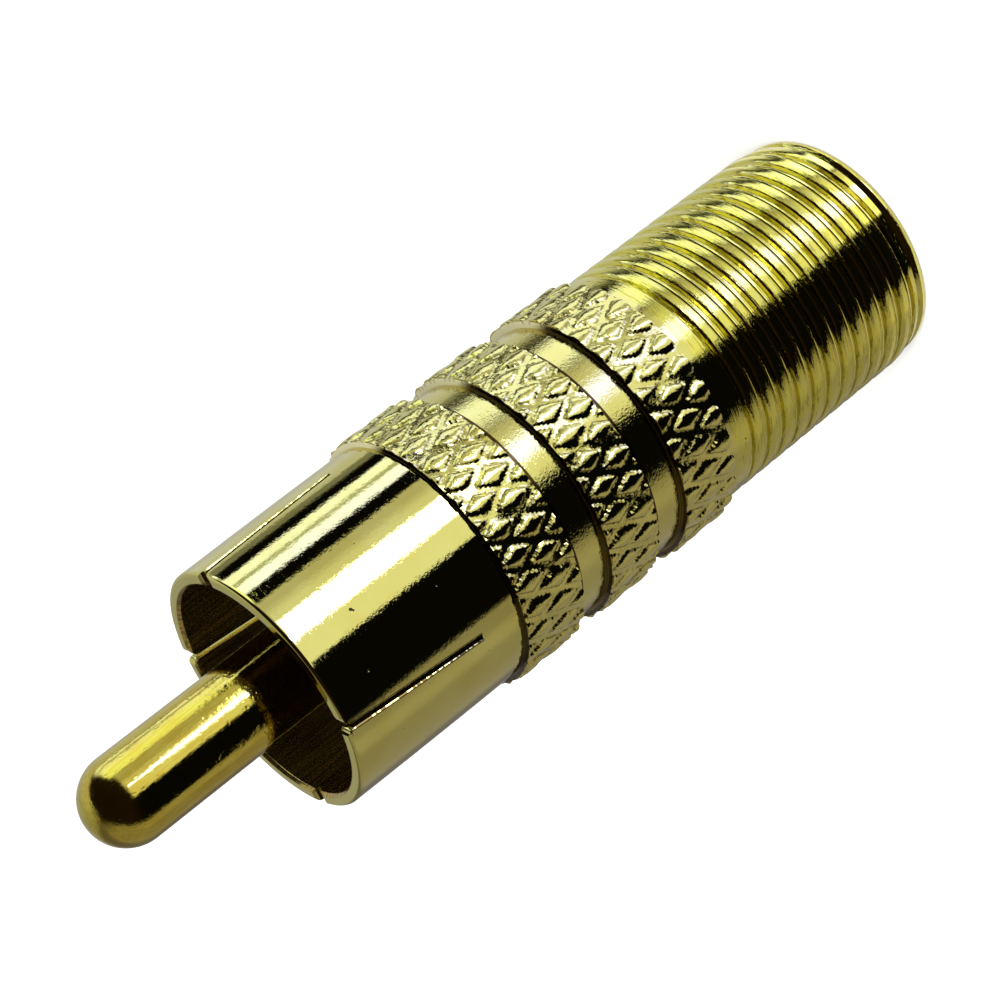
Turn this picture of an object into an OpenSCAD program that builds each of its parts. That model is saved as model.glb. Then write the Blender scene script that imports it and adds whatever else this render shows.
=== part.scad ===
// Adapter from an RCA plug to an F socket, stood on its F end.
// Z runs along the axis from the F end face (z = 0) up to the RCA pin's tip.
// All sizes are in millimetres.

/* [Lengths along the axis] */
// Length of the threaded barrel, from the F end face to the grip
barrel_len = 10.8; // [8:0.1:16]
// Length of the grip band next to the barrel
rear_band_len = 2.45; // [1.5:0.05:4]
// Length of the middle grip band
middle_band_len = 2.3; // [1.5:0.05:4]
// Length of the grip band next to the skirt
front_band_len = 2.6; // [1.5:0.05:4]
// Length of each smooth ring between two grip bands
ring_len = 1.4; // [0.8:0.05:3]
// Length of the slotted skirt, from the grip to its mouth
skirt_len = 7.4; // [6.2:0.1:10]
// How far the pin stands out past the skirt's mouth
pin_reach = 7.4; // [5:0.1:9]

/* [Body outside] */
// Diameter over the grip bands, across the tops of their diamonds
band_d = 10.14; // [8.4:0.02:13]
// How far the grip bands stand above the smooth rings
ring_depth = 0.37; // [0.25:0.01:0.6]
// How far the front grip band stands above the skirt's root
skirt_step = 0.31; // [0.25:0.01:0.6]
// How much the skirt closes in from root to mouth, on the radius
skirt_squeeze = 0.07; // [0:0.01:0.15]
// Major diameter of the 3/8-32 thread
thread_d = 9.525; // [7.8:0.005:11.5]
// Chamfer at the barrel's end
nose_chamfer = 0.35; // [0.1:0.05:0.8]
// Edge chamfer of the grip bands
band_edge = 0.14; // [0.05:0.01:0.25]

/* [Knurl] */
// Number of diamonds round the grip in one row
knurl_count = 30; // [20:1:32]
// Distance along the axis between two rows of the same phase
knurl_pitch = 2.05; // [2:0.05:3]
// Length of one diamond along the axis, at its foot
diamond_len = 1.44; // [0.8:0.02:1.5]
// Width of one diamond round the grip, at its foot
diamond_width = 0.72; // [0.4:0.01:0.76]
// Share of the foot's length and width that a diamond's flat top keeps
diamond_top = 0.3; // [0.1:0.05:0.6]
// Height of the diamonds above the grip bands' ground
diamond_height = 0.13; // [0.08:0.01:0.15]
// Place of the first row past the skirt's root, towards the mouth
knurl_start = 0.375; // [-1:0.005:1]
// Direction of the first row's diamonds, in degrees from +X
knurl_azimuth = 5.3; // [0:0.1:18]

/* [Skirt] */
// Wall of the skirt at its mouth
skirt_wall = 0.51; // [0.35:0.01:0.8]
// Chamfer round the skirt's lip
lip_chamfer = 0.12; // [0.05:0.01:0.2]
// Width of the saw cuts through the skirt
saw_width = 0.18; // [0.12:0.01:0.6]
// Depth of the saw cuts, from the mouth
saw_depth = 5.8; // [3:0.1:6]
// Directions of the two saw cuts, in degrees from +X
saw_azimuths = [-27.5, -123.5]; // [-180:0.5:180]
// Lean of the two saw cuts off the axis, in degrees
saw_leans = [2.5, -4.5]; // [-5:0.5:5]
// Relief of the skirt segments' corners beside each cut
saw_corner = 0.22; // [0:0.01:0.5]

/* [Centre pin] */
// Diameter of the RCA pin
pin_d = 3.2; // [2.6:0.05:4]
// Diameter of the pin's shank inside its bead
shank_d = 2.2; // [1.8:0.05:2.6]
// Diameter of the pin's tail inside the F contact
tail_d = 1.4; // [1.1:0.05:1.7]
// Length of the pin's tail
tail_len = 2.8; // [1.5:0.1:4]

/* [RCA bead] */
// Depth of the socket round the pin, from the mouth to the bead
socket_depth = 8.75; // [8:0.05:9.5]
// Thickness of the bead's flange
flange_len = 1.6; // [1:0.1:2.5]
// Diameter of the bead's spigot
spigot_d = 6; // [5:0.1:6.4]
// Length of the bead's spigot
spigot_len = 3.5; // [2:0.1:4]

/* [F contact] */
// Outer diameter of the contact tube
contact_d = 2.9; // [2.4:0.1:3.4]
// Bore of the contact, for a centre wire of 1.02 mm
contact_bore_d = 1.1; // [0.9:0.02:1.3]
// Solid web between the contact's bore and the pin's tail
contact_web = 1.7; // [0.5:0.1:3]
// How far the contact's open end lies behind the F end face
contact_setback = 2.2; // [1.8:0.1:3]
// Length of the two contact fingers
finger_len = 5.2; // [3:0.1:7]
// Width of the cut between the fingers
finger_gap = 0.3; // [0.15:0.01:0.4]
// How much the fingers thin down towards the open end
finger_taper = 0.4; // [0.1:0.05:0.5]

/* [F bead] */
// Diameter of the F bead
f_bead_d = 6.9; // [6.5:0.1:7.4]
// Air space along the axis between the two beads
chamber_len = 3.1; // [1:0.1:5]
// How far the F bead's face lies behind the F end face
f_bead_setback = 0.4; // [0.2:0.1:1]
// Diameter of the funnel's wide end
funnel_d = 3; // [2:0.1:4]
// Depth of the funnel
funnel_depth = 1; // [0.5:0.1:1.2]
// Diameter of the wire hole at the funnel's end
wire_hole_d = 1.5; // [1.2:0.05:2]
// Front wall of the F bead, before the contact's room
f_bead_wall = 1.6; // [1.3:0.1:2]
// Gap between the contact and the room that it lies in
contact_clear = 0.1; // [0.05:0.01:0.2]

/* [Hidden] */
$fn = 96;
// A little more than nothing, so that cuts run past the faces they open
past = 0.5;

// Stations, from the F end face up
rear_band_z = barrel_len;
rear_ring_z = rear_band_z + rear_band_len;
middle_band_z = rear_ring_z + ring_len;
front_ring_z = middle_band_z + middle_band_len;
front_band_z = front_ring_z + ring_len;
skirt_z = front_band_z + front_band_len;
mouth_z = skirt_z + skirt_len;
tip_z = mouth_z + pin_reach;
socket_floor_z = mouth_z - socket_depth;
flange_z = socket_floor_z - flange_len;
spigot_z = flange_z - spigot_len;
tail_z = spigot_z - tail_len;
contact_bore_top_z = tail_z - contact_web;
f_bead_top_z = spigot_z - chamber_len;

// Radii that follow from the driving sizes
band_r = band_d / 2;
ground_r = band_r - diamond_height;
ring_r = band_r - ring_depth;
skirt_root_r = band_r - skirt_step;
skirt_mouth_r = skirt_root_r - skirt_squeeze;
socket_r = skirt_mouth_r - skirt_wall;
thread_r = thread_d / 2;

gold = [0.78, 0.71, 0.36];
pin_gold = [0.80, 0.72, 0.28];
black_plastic = [0.06, 0.05, 0.05];
ivory_plastic = [0.90, 0.88, 0.80];

// Half outline of the body's outside without its knurl, from the F end face to the skirt's lip
function outside_outline() = [
    [thread_r - nose_chamfer, 0], [thread_r, nose_chamfer], [thread_r, rear_band_z],
    [ground_r, rear_band_z], [ground_r, rear_ring_z],
    [ring_r, rear_ring_z], [ring_r, middle_band_z],
    [ground_r, middle_band_z], [ground_r, front_ring_z],
    [ring_r, front_ring_z], [ring_r, front_band_z],
    [ground_r, front_band_z], [ground_r, skirt_z],
    [skirt_root_r, skirt_z],
    [skirt_mouth_r, mouth_z - lip_chamfer], [skirt_mouth_r - lip_chamfer, mouth_z]
];

// One saw cut right across the skirt, leaning off the axis, with its corners relieved
module saw_cut(azimuth, lean) {
    span = 2 * (skirt_root_r + past);
    rotate([0, 0, azimuth])
        translate([0, 0, mouth_z])
            rotate([lean, 0, 0]) {
                translate([-span / 2, -saw_width / 2, -saw_depth])
                    cube([span, saw_width, saw_depth + past]);
                rotate([45, 0, 0])
                    translate([-span / 2, -saw_corner, -saw_corner])
                        cube([span, 2 * saw_corner, 2 * saw_corner]);
            }
}

// One diamond of the knurl: a low four-sided block with sloping sides, a small flat top and its foot
// under the bands' ground
module diamond() {
    sunk = 0.04;
    grow = 1 + (1 - diamond_top) * sunk / diamond_height;
    half_len = diamond_len / 2;
    half_width = diamond_width / 2;
    foot = ground_r - sunk;
    top = sqrt(band_r * band_r - pow(diamond_top * half_width, 2));
    polyhedron(
        points = [
            [foot, grow * half_width, 0],
            [foot, 0, grow * half_len],
            [foot, -grow * half_width, 0],
            [foot, 0, -grow * half_len],
            [top, diamond_top * half_width, 0],
            [top, 0, diamond_top * half_len],
            [top, -diamond_top * half_width, 0],
            [top, 0, -diamond_top * half_len]
        ],
        faces = [[0, 1, 2, 3], [7, 6, 5, 4], [0, 4, 5, 1], [1, 5, 6, 2], [2, 6, 7, 3], [3, 7, 4, 0]]
    );
}

// Space of one grip band, a little wider than its diamonds' tops, with both edges chamfered
module band_envelope(z, len) {
    spare = 0.1;
    rotate_extrude()
        polygon([
            [0, z],
            [band_r - band_edge, z],
            [band_r + spare, z + band_edge + spare],
            [band_r + spare, z + len - band_edge - spare],
            [band_r - band_edge, z + len],
            [0, z + len]
        ]);
}

// Rows of diamonds over the three bands, each a half step round from the last
module knurl() {
    step = 360 / knurl_count;
    rows = ceil((skirt_z + knurl_start - rear_band_z) / (knurl_pitch / 2));
    intersection() {
        for (row = [0:rows], i = [0:knurl_count - 1])
            translate([0, 0, skirt_z + knurl_start - row * knurl_pitch / 2])
                rotate([0, 0, knurl_azimuth + (i + (row % 2) / 2) * step])
                    diamond();
        union() {
            band_envelope(rear_band_z, rear_band_len);
            band_envelope(middle_band_z, middle_band_len);
            band_envelope(front_band_z, front_band_len);
        }
    }
}

// Turned brass body: F barrel, three grip bands, two rings and the slotted RCA skirt
module body() {
    color(gold)
        difference() {
            union() {
                rotate_extrude()
                    polygon(concat([[0, 0]], outside_outline(), [[0, mouth_z]]));
                knurl();
            }
            translate([0, 0, flange_z])
                cylinder(r = socket_r, h = mouth_z - flange_z + past);
            translate([0, 0, mouth_z - lip_chamfer])
                cylinder(r1 = socket_r, r2 = socket_r + lip_chamfer + past, h = lip_chamfer + past);
            translate([0, 0, f_bead_top_z - past])
                cylinder(d = spigot_d, h = flange_z - f_bead_top_z + 2 * past);
            translate([0, 0, -past])
                cylinder(d = f_bead_d, h = f_bead_top_z + past);
            for (i = [0, 1])
                saw_cut(saw_azimuths[i], saw_leans[i]);
        }
}

// Black bead that carries the pin at the RCA end: a flange on the shoulder and a spigot
module rca_bead() {
    color(black_plastic)
        difference() {
            union() {
                translate([0, 0, flange_z])
                    cylinder(r = socket_r, h = flange_len);
                translate([0, 0, spigot_z])
                    cylinder(d = spigot_d, h = spigot_len + past);
            }
            translate([0, 0, spigot_z - past])
                cylinder(d = shank_d, h = spigot_len + flange_len + 2 * past);
        }
}

// Turned pin: round nose, shank pressed in the bead and tail pressed in the F contact
module centre_pin() {
    pin_r = pin_d / 2;
    color(pin_gold)
        union() {
            translate([0, 0, tip_z - pin_r])
                sphere(r = pin_r);
            translate([0, 0, socket_floor_z])
                cylinder(r = pin_r, h = tip_z - pin_r - socket_floor_z);
            translate([0, 0, spigot_z])
                cylinder(d = shank_d, h = socket_floor_z - spigot_z + past);
            translate([0, 0, tail_z])
                cylinder(d = tail_d, h = tail_len + past);
        }
}

// Sprung socket for the cable's centre wire, split into two tapered fingers
module f_contact() {
    contact_r = contact_d / 2;
    color(gold)
        difference() {
            rotate_extrude()
                polygon([
                    [0, contact_setback],
                    [contact_r - finger_taper, contact_setback],
                    [contact_r, contact_setback + finger_len],
                    [contact_r, spigot_z],
                    [0, spigot_z]
                ]);
            translate([0, 0, contact_setback - past])
                cylinder(d = contact_bore_d, h = contact_bore_top_z - contact_setback + past);
            translate([0, 0, tail_z])
                cylinder(d = tail_d, h = tail_len + past);
            translate([-contact_d, -finger_gap / 2, contact_setback - past])
                cube([2 * contact_d, finger_gap, finger_len + past]);
        }
}

// Ivory bead at the F end: funnel and wire hole in front, room for the contact behind
module f_bead() {
    room_r = contact_d / 2 + contact_clear;
    room_z = f_bead_setback + f_bead_wall;
    color(ivory_plastic)
        difference() {
            translate([0, 0, f_bead_setback])
                cylinder(d = f_bead_d, h = f_bead_top_z - f_bead_setback);
            translate([0, 0, f_bead_setback])
                cylinder(d1 = funnel_d, d2 = wire_hole_d, h = funnel_depth);
            translate([0, 0, f_bead_setback - past])
                cylinder(d = wire_hole_d, h = f_bead_wall + 2 * past);
            translate([0, 0, room_z])
                cylinder(r = room_r, h = f_bead_top_z - room_z + past);
        }
}

body();
rca_bead();
centre_pin();
f_contact();
f_bead();
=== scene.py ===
"""Looks of a gold plated adapter from an RCA plug to an F socket, stood on its F end.

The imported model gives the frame: Z runs up the axis from the F end face, and the camera looks along +Y.
Sizes are in metres. Each operator builds one piece or the stage, and main() calls them in order.
"""
from math import ceil, cos, pi, radians, sin, tau

import bpy
from mathutils import Matrix, Vector


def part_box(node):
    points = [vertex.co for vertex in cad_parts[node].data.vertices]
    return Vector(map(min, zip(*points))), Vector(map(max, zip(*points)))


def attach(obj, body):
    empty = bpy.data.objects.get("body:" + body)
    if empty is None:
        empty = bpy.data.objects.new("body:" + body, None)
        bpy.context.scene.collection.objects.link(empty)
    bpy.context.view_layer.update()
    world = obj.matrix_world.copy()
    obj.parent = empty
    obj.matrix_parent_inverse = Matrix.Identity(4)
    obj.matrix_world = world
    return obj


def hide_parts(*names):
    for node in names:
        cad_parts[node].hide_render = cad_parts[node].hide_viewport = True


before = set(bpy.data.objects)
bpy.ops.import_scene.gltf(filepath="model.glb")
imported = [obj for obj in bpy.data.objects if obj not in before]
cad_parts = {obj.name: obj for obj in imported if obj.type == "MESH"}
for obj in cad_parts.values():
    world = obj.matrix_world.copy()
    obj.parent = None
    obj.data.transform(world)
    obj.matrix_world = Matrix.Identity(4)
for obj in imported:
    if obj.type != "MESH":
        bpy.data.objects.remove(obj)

bl_info = {
    "name": "RCA to F adapter",
    "version": (1, 0, 0),
    "blender": (4, 5, 0),
    "location": "3D View > Sidebar > Adapter",
    "description": "Builds a turned, threaded and knurled coaxial adapter and its stage",
    "category": "Add Mesh",
}

MM = 0.001
FRAME_BODY = "root"
# Points nearer than this become one.
WELD = 0.5e-6


def mm(*values):
    """Millimetres as metres."""
    return tuple(value * MM for value in values)


BARREL_TOP, SKIRT_ROOT = mm(10.8, 20.95)
# Foot and height of each grip band.
BANDS = (BARREL_TOP, 2.45 * MM), mm(14.65, 2.3), mm(18.35, 2.6)
FLANGE_HEIGHT, SPIGOT_RADIUS, SHANK_RADIUS, TAIL_RADIUS = mm(1.6, 3.0, 1.1, 0.7)


def top_of(node):
    """Height of a frame node's highest point."""
    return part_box(node)[1].z


def foot_of(node):
    """Height of a frame node's lowest point."""
    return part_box(node)[0].z


def radius_of(node):
    """Largest radius of a turned frame node."""
    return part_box(node)[1].x


def extent(node):
    """Largest radius and lowest and highest point of a turned frame node."""
    return radius_of(node), foot_of(node), top_of(node)


def placed(name, data):
    """A new object in the scene."""
    made = bpy.data.objects.new(name, data)
    bpy.context.scene.collection.objects.link(made)
    return made


# Node trees

def operation(kind, turned=False):
    """A method that adds a maths node of that kind, with its operands the other way round if turned."""
    def method(self, *others):
        return self.tree.math(kind, *((*others, self) if turned else (self, *others)))
    return method


class Value:
    """An output socket that takes part in sums, so that shader and geometry maths reads as plain Python."""

    def __init__(self, tree, output):
        self.tree = tree
        self.output = output

    def __neg__(self):
        return self * -1.0

    __add__, __radd__ = operation("ADD"), operation("ADD", True)
    __sub__, __rsub__ = operation("SUBTRACT"), operation("SUBTRACT", True)
    __mul__, __rmul__ = operation("MULTIPLY"), operation("MULTIPLY", True)
    __truediv__, __pow__ = operation("DIVIDE"), operation("POWER")
    __gt__, __lt__ = operation("GREATER_THAN"), operation("LESS_THAN")
    __abs__, floor = operation("ABSOLUTE"), operation("FLOOR")
    least, most = operation("MINIMUM"), operation("MAXIMUM")
    cosine, sine = operation("COSINE"), operation("SINE")


class Tree:
    """Adds nodes to one node tree."""

    def __init__(self, target):
        self.target = target

    def node(self, kind, settings=None, inputs=None, output=0):
        """One node: its settings, then the values or links of its sockets. Gives the named output."""
        made = self.target.nodes.new(kind)
        for name, setting in (settings or {}).items():
            setattr(made, name, setting)
        for key, value in (inputs or {}).items():
            self.feed(value, made.inputs[key])
        return Value(self, made.outputs[output]) if len(made.outputs) else made

    def feed(self, value, socket):
        """Links a value, or several to a joining socket, or sets a plain one."""
        if isinstance(value, (Value, list)):
            for one in value if isinstance(value, list) else [value]:
                self.target.links.new(one.output, socket)
        else:
            socket.default_value = value

    def math(self, kind, *values):
        return self.node("ShaderNodeMath", {"operation": kind}, dict(enumerate(values)))

    def ease(self, value, start, end):
        """0 before start and 1 after end, with a smooth step between."""
        return self.node("ShaderNodeMapRange", {"interpolation_type": "SMOOTHSTEP"},
                         {"Value": value, "From Min": start, "From Max": end})

    def ramp(self, value, start, end):
        """0 before start and 1 after end, straight between."""
        return self.node("ShaderNodeMapRange", {}, {"Value": value, "From Min": start, "From Max": end})

    def xyz(self, vector):
        """The three parts of a vector."""
        parts = self.node("ShaderNodeSeparateXYZ", inputs={0: vector}).output.node.outputs
        return [Value(self, part) for part in parts]

    def vector(self, x, y, z):
        return self.node("ShaderNodeCombineXYZ", inputs={0: x, 1: y, 2: z})


class PieceTree(Tree):
    """A Geometry Nodes tree that makes one piece from its outlines."""

    def __init__(self, name, columns):
        super().__init__(bpy.data.node_groups.new(name, "GeometryNodeTree"))
        self.inlet = self.target.nodes.new("NodeGroupInput")
        self.outlet = self.target.nodes.new("NodeGroupOutput")
        self.set_values = {}
        for socket, way in (("Outlines", "INPUT"), ("Piece", "OUTPUT")):
            self.target.interface.new_socket(socket, in_out=way, socket_type="NodeSocketGeometry")
        self.outlines = Value(self, self.inlet.outputs["Outlines"])
        self.columns = self.given("Columns", columns)
        self.place = self.node("GeometryNodeInputPosition")

    def given(self, name, value):
        """A named input of the tree, with the value that the modifier gets."""
        kind = "NodeSocket" + {int: "Int", float: "Float"}.get(type(value), "Material")
        socket = self.target.interface.new_socket(name, in_out="INPUT", socket_type=kind)
        self.set_values[socket.identifier] = value
        return Value(self, self.inlet.outputs[name])

    def sizes(self, title, group, *names):
        """Named inputs for those settings of a group."""
        return [self.given(f"{title} {name.replace('_', ' ')}", getattr(group, name)) for name in names]

    def outline(self, part, corner_steps):
        """The outline with that part number as a curve, its corners rounded by their own radii."""
        number, corner = (self.node("GeometryNodeInputNamedAttribute", {"data_type": "FLOAT"}, {"Name": name})
                          for name in ("part", "corner"))
        chosen = self.node("FunctionNodeCompare", {"data_type": "FLOAT", "operation": "EQUAL"},
                           {0: number, 1: float(part), "Epsilon": 0.1})
        curve = self.node("GeometryNodeMeshToCurve", inputs={"Mesh": self.outlines, "Selection": chosen})
        return self.node("GeometryNodeFilletCurve", {"mode": "POLY"},
                         {"Curve": curve, "Count": corner_steps, "Radius": corner, "Limit Radius": True})

    def sheet(self, columns, rows):
        """A grid to be wrapped round the axis: its mesh, each point's share of a turn, and its row number."""
        grid = self.node("GeometryNodeMeshGrid", inputs={
            "Size X": 1.0, "Size Y": 1.0, "Vertices X": columns + 1, "Vertices Y": rows})
        x, y, _ = self.xyz(self.place)
        row = ((y + 0.5) * (rows - 1) + 0.5).floor()
        return grid, x + 0.5, row

    def wrap(self, grid, turn, radius, height):
        """Puts the sheet's points round the axis and closes its seam and poles."""
        angle = turn * tau
        place = self.vector(angle.cosine() * radius, angle.sine() * radius, height)
        shaped = self.node("GeometryNodeSetPosition", inputs={"Geometry": grid, "Position": place})
        return self.node("GeometryNodeMergeByDistance", inputs={"Geometry": shaped, "Distance": WELD})

    def points_in(self, curve):
        return self.node("GeometryNodeAttributeDomainSize", {"component": "CURVE"}, {"Geometry": curve},
                         "Point Count")

    def sampled(self, curve, index):
        """Where the curve's point with that index lies."""
        return self.node("GeometryNodeSampleIndex", {"data_type": "FLOAT_VECTOR", "domain": "POINT"}, {
            "Geometry": curve, "Value": self.place, "Index": index})

    def turned(self, part, corner_steps):
        """The closed solid that an outline from the axis to the axis sweeps round Z."""
        curve = self.outline(part, corner_steps)
        grid, turn, row = self.sheet(self.columns, self.points_in(curve))
        radius, _, height = self.xyz(self.sampled(curve, row))
        return self.wrap(grid, turn, radius, height)

    def moved(self, geometry, translation=(0, 0, 0), rotation=(0, 0, 0)):
        turn = self.node("FunctionNodeEulerToRotation", inputs={0: rotation})
        return self.node("GeometryNodeTransform", inputs={
            "Geometry": geometry, "Translation": translation, "Rotation": turn})

    def joined(self, *solids):
        return self.node("GeometryNodeMeshBoolean", {"operation": "UNION", "solver": "MANIFOLD"},
                         {"Mesh 2": list(solids)})

    def cut(self, solid, *cutters):
        return self.node("GeometryNodeMeshBoolean", {"operation": "DIFFERENCE", "solver": "MANIFOLD"},
                         {"Mesh 1": solid, "Mesh 2": list(cutters)})

    def finish(self, geometry, material, sharp_angle):
        """Shades the piece smooth up to its sharp edges and gives it its material."""
        smooth = self.node("GeometryNodeSetShadeSmooth", {"domain": "FACE"},
                           {"Geometry": geometry, "Shade Smooth": True})
        angle = self.node("GeometryNodeInputMeshEdgeAngle")
        sharp = self.node("GeometryNodeSetShadeSmooth", {"domain": "EDGE"}, {
            "Geometry": smooth, "Selection": angle > sharp_angle, "Shade Smooth": False})
        whole = self.node("GeometryNodeRealizeInstances", inputs={"Geometry": sharp})
        painted = self.node("GeometryNodeSetMaterial", inputs={
            "Geometry": whole, "Material": self.given("Material", material)})
        self.target.links.new(painted.output, self.outlet.inputs["Piece"])


def outline_mesh(name, outlines):
    """A mesh of open outlines in the XZ plane: lists of (radius, height), or (radius, height, rounding)."""
    points, edges, corners, parts = [], [], [], []
    for part, outline in enumerate(outlines):
        first = len(points)
        for radius, height, *corner in outline:
            points.append((radius, 0.0, height))
            corners.append(corner[0] if corner else 0.0)
            parts.append(float(part))
        edges += [(i, i + 1) for i in range(first, len(points) - 1)]
    mesh = bpy.data.meshes.new(name)
    mesh.from_pydata(points, edges, [])
    for attribute, values in (("corner", corners), ("part", parts)):
        mesh.attributes.new(attribute, "FLOAT", "POINT").data.foreach_set("value", values)
    return mesh


def build_piece(tree, shape, material, outlines, name, replaced, sharp=30):
    """Runs the tree on the outlines and puts the result, as a plain mesh, in its frame node's place."""
    tree.finish(shape, material, radians(sharp))
    piece = placed(name, outline_mesh(name, outlines))
    modifier = piece.modifiers.new("Shape", "NODES")
    modifier.node_group = tree.target
    for identifier, value in tree.set_values.items():
        modifier[identifier] = value
    evaluated = piece.evaluated_get(bpy.context.evaluated_depsgraph_get())
    mesh = bpy.data.meshes.new_from_object(evaluated)
    if not mesh.polygons:
        raise RuntimeError(f"{name} came out empty")
    piece.modifiers.remove(modifier)
    piece.data = mesh
    mesh.name = name
    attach(piece, FRAME_BODY)
    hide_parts(replaced)


# Finishes

class Finish(Tree):
    """A procedural material on a Principled shader."""

    def __init__(self, name):
        material = bpy.data.materials.new(name)
        material.use_nodes = True
        super().__init__(material.node_tree)
        self.material = material
        self.shader = material.node_tree.nodes["Principled BSDF"]
        self.place = self.node("ShaderNodeTexCoord", output="Object")

    def set(self, **inputs):
        for name, value in inputs.items():
            self.feed(value, self.shader.inputs[name.replace("_", " ")])

    def noise(self, per_mm, detail=2.0, roughness=0.5, stretch=(1, 1, 1)):
        """Noise with that many features to a millimetre, drawn out along an axis where stretch is small."""
        scaled = self.node("ShaderNodeMapping", {}, {
            "Vector": self.place, "Scale": tuple(per_mm * s / MM for s in stretch)})
        return self.node("ShaderNodeTexNoise", {}, {
            "Vector": scaled, "Scale": 1.0, "Detail": detail, "Roughness": roughness})

    def bump(self, height):
        """A normal bent by a height in metres."""
        return self.node("ShaderNodeBump", {}, {"Height": height, "Distance": 1.0, "Strength": 1.0})

    def spot(self, angle, radius, height, size):
        """1 on a round spot on a wall of that radius, at an angle from the camera's side towards -X."""
        side = radians(angle)
        centre = (-radius * sin(side), -radius * cos(side), height)
        away = self.node("ShaderNodeVectorMath", {"operation": "DISTANCE"}, {0: self.place, 1: centre},
                         "Value")
        return 1.0 - self.ease(away, 0.4 * size, size)

    def within(self, value, start, end, soft=0.05 * MM):
        """1 from start to end and 0 outside, with soft ends."""
        return self.ease(value, start - soft, start + soft) * (1.0 - self.ease(value, end - soft, end + soft))

    def blend(self, share, first, second):
        """A colour between two, by share."""
        first, second = (end if isinstance(end, Value) else (*end, 1.0) for end in (first, second))
        return self.node("ShaderNodeMix", {"data_type": "RGBA"}, {"Factor": share, 6: first, 7: second}, 2)


# Small pits in the plating: angle from the camera's side towards -X, height and size in mm.
MARKS = ((-4.0, 26.05, 0.075), (-3.2, 26.0, 0.05), (-24.0, 24.4, 0.03), (-12.0, 22.6, 0.035),
         (9.0, 23.2, 0.03), (19.0, 26.75, 0.04), (41.0, 25.0, 0.03), (47.0, 22.5, 0.035),
         (52.0, 26.4, 0.03), (38.0, 27.3, 0.03), (45.0, 9.95, 0.06))

# Saw cuts across the skirt: azimuth and lean.
SAW_CUTS = [(radians(azimuth), radians(lean)) for azimuth, lean in ((-27.5, 2.5), (-123.5, -4.5))]

# Where the finishes change: heights up the axis, radii, and the far side of the step faces in x.
THREAD_END, GRIP_SPAN, SKIRT_START = mm(10.3, 10.6), mm(10.85, 20.9), mm(20.9, 20.95)
SKIRT_FOOT, CUT_END, SKIRT_MOUTH = mm(21.9, 22.4), mm(22.5, 22.6), mm(26.6, 27.2)
SOCKET_FLOOR, SOCKET_FADE, NOSE = mm(19.5, 19.7), mm(22.0, 27.5), mm(33.8, 34.8)
SOCKET_WALL, SKIRT_WALL, RING_WALL, STEP_TOP = mm(4.25, 4.35), mm(4.6, 4.62), mm(4.72, 4.76), mm(4.75, 4.81)
KNURL_GROUND, BAND_EDGE, FAR_SIDE = mm(4.8, 4.86), mm(4.92, 4.98), mm(3.7, 4.3)
# Burrs beside a saw cut by their distance from its middle, soft edges, the reach of the painted shade under
# the bands' feet and the pits' radius.
BURR_LINE, BURR_DASHES = mm(0.13, 0.165), mm(0.08, 0.125)
HAIR, SEAM, CORNER_SHADE_REACH, PIT_RADIUS = mm(0.01, 0.02, 0.25, 4.73)
# Relief in metres: of the plating, what the grip and the thread add to it, and of the pin and the plastic.
WAVE, GRAIN, SAND, TOOLING, PIT = 1.5e-6, 3.6e-6, 1.2e-6, 1.6e-6, 20.0e-6
GRIP_GRAIN, GRIP_SAND, THREAD_TOOLING = 3.4e-6, 6.5e-6, 15.0e-6
PIN_WAVE, PIN_DRAWN, PIN_GRAIN, PIN_NICKS, MOULD_GRAIN = 6.0e-6, 3.2e-6, 2.4e-6, 2.2e-6, 3.0e-6
# Roughness of the plating and of the pin where nothing adds to it.
POLISHED, TUMBLED = 0.024, 0.05


def diamond_feet(finish, knurl, x, y, height):
    """1 on a line round the foot of each of the knurl's diamonds."""
    across = (finish.math("ARCTAN2", y, x) - knurl.azimuth) * (knurl.count / tau)
    down = (knurl.first_row - height) / knurl.pitch
    left, right = across + down, across - down
    off = abs(left - (left + 0.5).floor()).most(abs(right - (right + 0.5).floor())) * (2.0 / knurl.foot_share)
    return finish.within(off, 0.92, 1.1, 0.06)


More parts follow.
